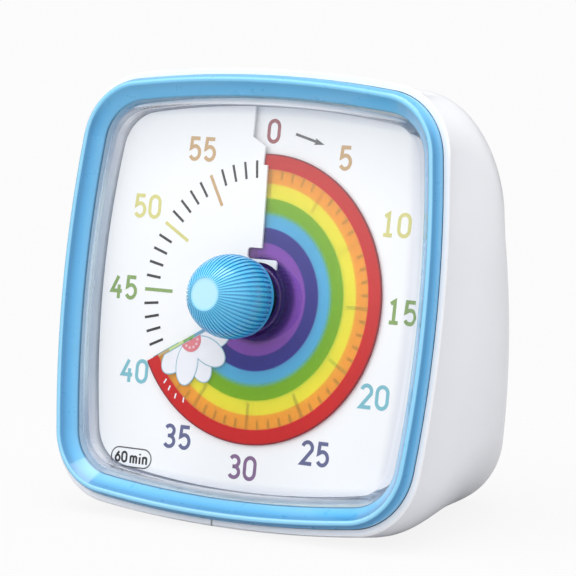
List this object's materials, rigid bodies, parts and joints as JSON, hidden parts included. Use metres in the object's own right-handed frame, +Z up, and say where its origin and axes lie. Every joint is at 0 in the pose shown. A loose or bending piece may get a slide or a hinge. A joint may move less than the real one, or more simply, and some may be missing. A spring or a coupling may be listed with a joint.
{
  "type": "visual countdown timer",
  "caption": "Square countdown timer with a tilted white case, coloured bezel, clear lens, ribbed centre knob and a rainbow film disc that shrinks as time runs out.",
  "frame": {"origin": "on the flat base, below the middle of the case's width; the table it stands on is z = 0", "axes": "+X to the user's right as they face the dial, +Y from the dial to the battery door, +Z up"},
  "size_m": [0.0858, 0.0581, 0.0852],
  "materials": {
    "case_white": "satin moulded ABS",
    "bezel_blue": "glossy coloured ABS",
    "lens_clear": "clear moulded acrylic",
    "knob_blue": "glossy ribbed ABS",
    "tray_white": "matt moulded plastic",
    "plate_white": "printed satin plastic sheet",
    "film_print": "film printed in coloured rings",
    "hub_black": "matt moulded plastic",
    "movement_plastic": "matt moulded plastic",
    "gear_plastic": "matt acetal",
    "steel": "bright steel",
    "iron_laminate": "soft iron sheet",
    "magnet_dark": "plastic-bonded ferrite",
    "copper_wire": "enamelled copper wire",
    "spring_brass": "phosphor bronze",
    "board_green": "fibre board with solder mask",
    "chip_black": "matt moulded resin",
    "can_metal": "drawn can",
    "buzzer_black": "matt moulded plastic",
    "cell_wrap": "shrink sleeve",
    "switch_black": "matt moulded plastic",
    "nickel": "nickel plated steel"
  },
  "bodies": {
    "housing": {"rear_case": "case_white", "bezel": "bezel_blue", "lens": "lens_clear", "dial_tray": "tray_white", "tray_screws": "steel", "dial_plate": "plate_white", "movement_front_case": "movement_plastic", "movement_rear_case": "movement_plastic", "movement_screws": "steel", "stator_plate": "iron_laminate", "coil_core": "iron_laminate", "drive_coil": "copper_wire", "contact_leaf": "spring_brass", "circuit_board": "board_green", "board_screws": "steel", "controller_chip": "chip_black", "quartz_crystal": "can_metal", "capacitor": "can_metal", "volume_switch": "switch_black", "buzzer_case": "buzzer_black", "buzzer_disc": "spring_brass", "battery_cell": "cell_wrap", "battery_spring": "nickel", "battery_plate": "nickel"},
    "knob_spindle": {"knob": "knob_blue", "spindle": "steel", "contact_cam": "spring_brass", "clutch_spring": "spring_brass"},
    "film": {"rainbow_disc": "film_print", "disc_hub": "hub_black"},
    "output": {"output_wheel": "gear_plastic"},
    "intermediate": {"intermediate_wheel": "gear_plastic", "intermediate_arbor": "steel"},
    "rotor": {"rotor_shaft": "steel", "rotor_pinion": "gear_plastic", "rotor_magnet": "magnet_dark"},
    "slider": {"volume_slider": "switch_black"},
    "door": {"battery_door": "case_white"}
  },
  "joints": [
    {"name": "knob_turn", "type": "hinge", "parent": "housing", "child": "knob_spindle", "pos_m": [0, -0.013, 0.0422], "axis": [0, 0.9859, -0.1676], "range_deg": [-240, 120]},
    {"name": "film_lift", "type": "slide", "parent": "knob_spindle", "child": "film", "axis": [0, -0.9859, 0.1676], "range_m": [-0.0009, 0.00045]},
    {"name": "output_wheel_spin", "type": "hinge", "parent": "housing", "child": "output", "pos_m": [0, 0.00105, 0.03982], "axis": [0, 0.9859, -0.1676], "continuous": true},
    {"name": "intermediate_spin", "type": "hinge", "parent": "housing", "child": "intermediate", "pos_m": [-0.0099, -0.00416, 0.03066], "axis": [0, 0.9859, -0.1676], "continuous": true},
    {"name": "rotor_spin", "type": "hinge", "parent": "housing", "child": "rotor", "pos_m": [-0.00211, -0.00491, 0.02622], "axis": [0, 0.9859, -0.1676], "continuous": true},
    {"name": "volume_slide", "type": "slide", "parent": "housing", "child": "slider", "axis": [1, 0, 0], "range_m": [0, 0.004]},
    {"name": "battery_door_lift", "type": "slide", "parent": "housing", "child": "door", "axis": [0, 1, 0], "range_m": [0, 0.012]}
  ],
  "couplings": [
    {"joint": "film_lift", "follows": "knob_turn", "m_per_rad": 0.00019099},
    {"joint": "intermediate_spin", "follows": "output_wheel_spin", "ratio": -6},
    {"joint": "rotor_spin", "follows": "output_wheel_spin", "ratio": 24}
  ]
}
